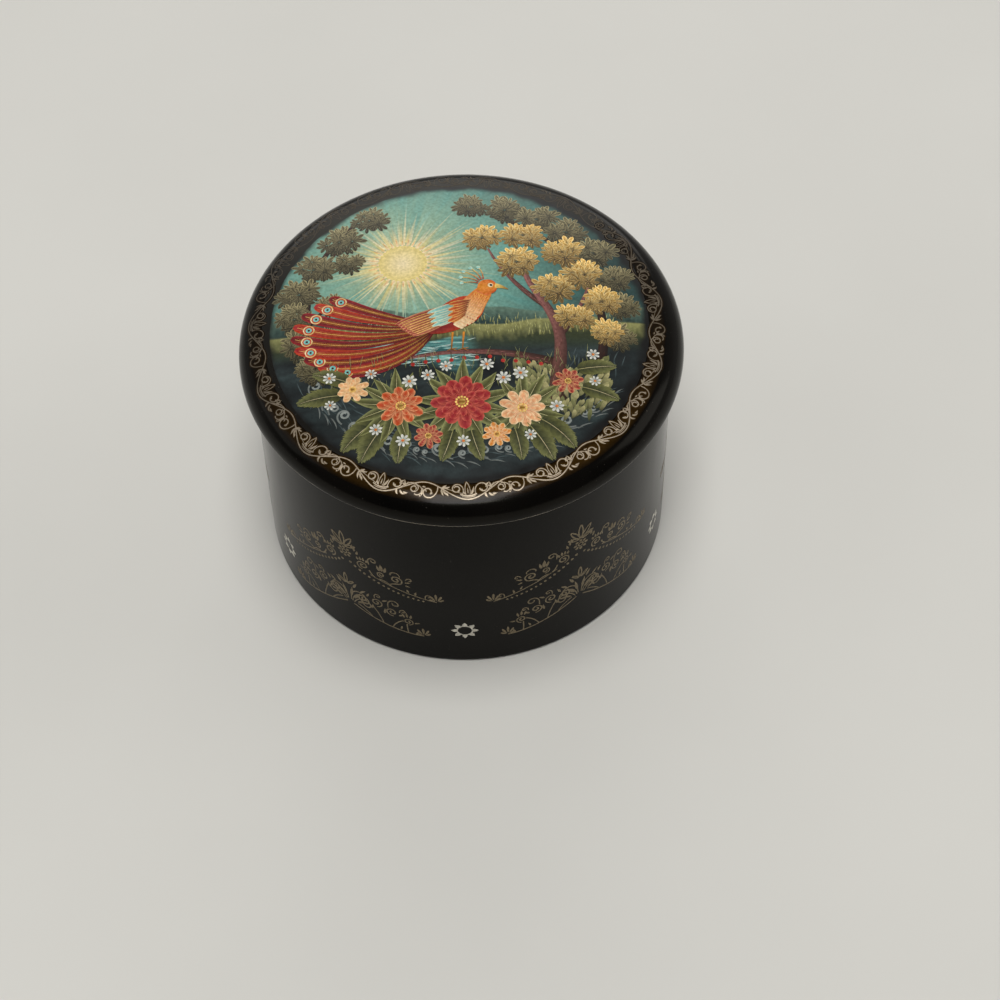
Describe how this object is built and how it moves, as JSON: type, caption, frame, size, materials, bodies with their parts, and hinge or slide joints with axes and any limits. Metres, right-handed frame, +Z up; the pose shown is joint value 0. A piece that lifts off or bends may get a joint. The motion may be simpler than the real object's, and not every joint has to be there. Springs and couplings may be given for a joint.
{
  "type": "round lacquer box",
  "caption": "Small round lacquered papier-mache box with straight sides and a lift-off domed lid that carries a painted picture inside a gold border.",
  "frame": {"origin": "on the box's axis, in the plane of the foot that it stands on", "axes": "+Z up along the box's axis; the box is round, so +X and +Y are free, with -Y towards the viewer of the picture"},
  "size_m": [0.069, 0.069, 0.046],
  "materials": {
    "body_lacquer": "gloss",
    "lid_lacquer": "satin",
    "spigot_lacquer": "satin",
    "red_lacquer": "gloss",
    "picture_paint": "satin"
  },
  "bodies": {
    "body": {"body_wall": "body_lacquer", "body_floor": "body_lacquer", "wall_lining": "red_lacquer", "floor_lining": "red_lacquer"},
    "lid": {"lid_rim": "lid_lacquer", "lid_panel": "lid_lacquer", "lid_spigot": "spigot_lacquer", "lid_lining": "red_lacquer", "lid_picture": "picture_paint"}
  },
  "joints": [
    {"name": "lid_lift", "type": "slide", "parent": "body", "child": "lid", "axis": [0, 0, 1], "range_m": [0, 0.05]}
  ]
}
